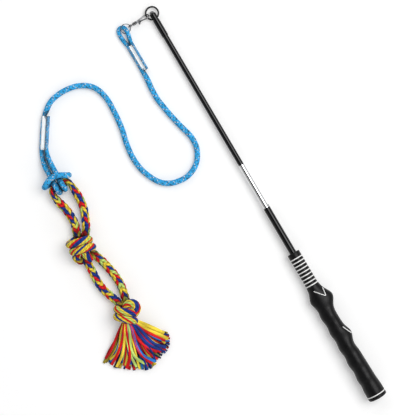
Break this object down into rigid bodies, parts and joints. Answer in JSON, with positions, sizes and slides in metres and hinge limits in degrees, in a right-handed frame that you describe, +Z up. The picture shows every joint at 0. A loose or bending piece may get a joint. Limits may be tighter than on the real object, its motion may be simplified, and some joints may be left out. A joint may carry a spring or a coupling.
{
  "type": "dog flirt pole",
  "caption": "Pull-out dog flirt pole with a moulded grip, a ring and swivel clasp at its tip, and a braided cord that ends in a knotted rope toy.",
  "frame": {"origin": "centre of the butt's flat end, on the pole's axis", "axes": "+Y along the pole from the butt to the tip, +Z up as the pole lies on its butt and tip, cord and toy towards -X"},
  "size_m": [0.3706, 0.7183, 0.0453],
  "materials": {
    "grip_rubber": "matt moulded rubber",
    "white_trim": "satin white",
    "black_paint": "gloss black",
    "inner_plastic": "plain moulded",
    "bright_metal": "bright plated",
    "turned_metal": "as turned",
    "blue_braid": "braided cord with dark and white flecks",
    "clear_sleeve": "clear shrunk sleeve",
    "toy_yarn": "braided cotton yarn in several colours"
  },
  "bodies": {
    "handle": {"grip_sleeve": "grip_rubber", "neck_rings": "white_trim", "butt_ring": "white_trim", "butt_cap": "grip_rubber", "base_tube": "black_paint", "butt_plug": "inner_plastic", "mouth_bush": "inner_plastic"},
    "pole": {"chrome_tube": "bright_metal", "guide_bush": "inner_plastic", "upper_tube": "black_paint", "joint_spigot": "turned_metal", "tip_sleeve": "black_paint", "tip_plug": "bright_metal"},
    "tip_ring": {"tip_ring": "black_paint"},
    "clasp": {"clasp_body": "bright_metal", "clasp_rivet": "bright_metal", "clasp_spring": "turned_metal"},
    "trigger": {"clasp_trigger": "bright_metal"},
    "swivel": {"swivel_eye": "bright_metal"},
    "cord_ring": {"cord_ring": "bright_metal"},
    "cord": {"cord_eye": "blue_braid", "upper_sleeve": "clear_sleeve", "cord_run": "blue_braid", "lower_sleeve": "clear_sleeve", "cord_hitch": "blue_braid"},
    "toy": {"toy_upper_loop": "toy_yarn", "toy_middle_knot": "toy_yarn", "toy_lower_loop": "toy_yarn", "toy_end_knot": "toy_yarn", "toy_tassel": "toy_yarn"}
  },
  "joints": [
    {"name": "pole_extend", "type": "slide", "parent": "handle", "child": "pole", "axis": [0, 0.9999, -0.0147], "range_m": [0, 0.14]},
    {"name": "tip_ring_swing", "type": "hinge", "parent": "pole", "child": "tip_ring", "pos_m": [0, 0.69692, -0.01026], "axis": [1, 0, 0], "range_deg": [-90, 90]},
    {"name": "clasp_swing", "type": "hinge", "parent": "tip_ring", "child": "clasp", "pos_m": [-0.0102, 0.70652, -0.01026], "axis": [0, 1, 0], "range_deg": [-45, 45]},
    {"name": "trigger_open", "type": "hinge", "parent": "clasp", "child": "trigger", "pos_m": [-0.0236, 0.70511, -0.00884], "axis": [0, 0.7071, 0.7071], "range_deg": [0, 25], "stiffness_Nm_per_rad": 0.02, "springref_deg": -17.19},
    {"name": "swivel_spin", "type": "hinge", "parent": "clasp", "child": "swivel", "pos_m": [-0.0356, 0.70652, -0.01026], "axis": [1, 0, 0], "continuous": true},
    {"name": "cord_ring_swing", "type": "hinge", "parent": "swivel", "child": "cord_ring", "pos_m": [-0.0406, 0.70652, -0.01026], "axis": [0, 0.8387, 0.5446], "range_deg": [-45, 10]},
    {"name": "cord_swing", "type": "hinge", "parent": "cord_ring", "child": "cord", "pos_m": [-0.0486, 0.70652, -0.01026], "axis": [0, -0.5446, 0.8387], "range_deg": [-45, 5]},
    {"name": "toy_swing", "type": "hinge", "parent": "cord", "child": "toy", "pos_m": [-0.2646, 0.54552, -0.00041], "axis": [1, 0, 0], "range_deg": [-60, 20]}
  ]
}
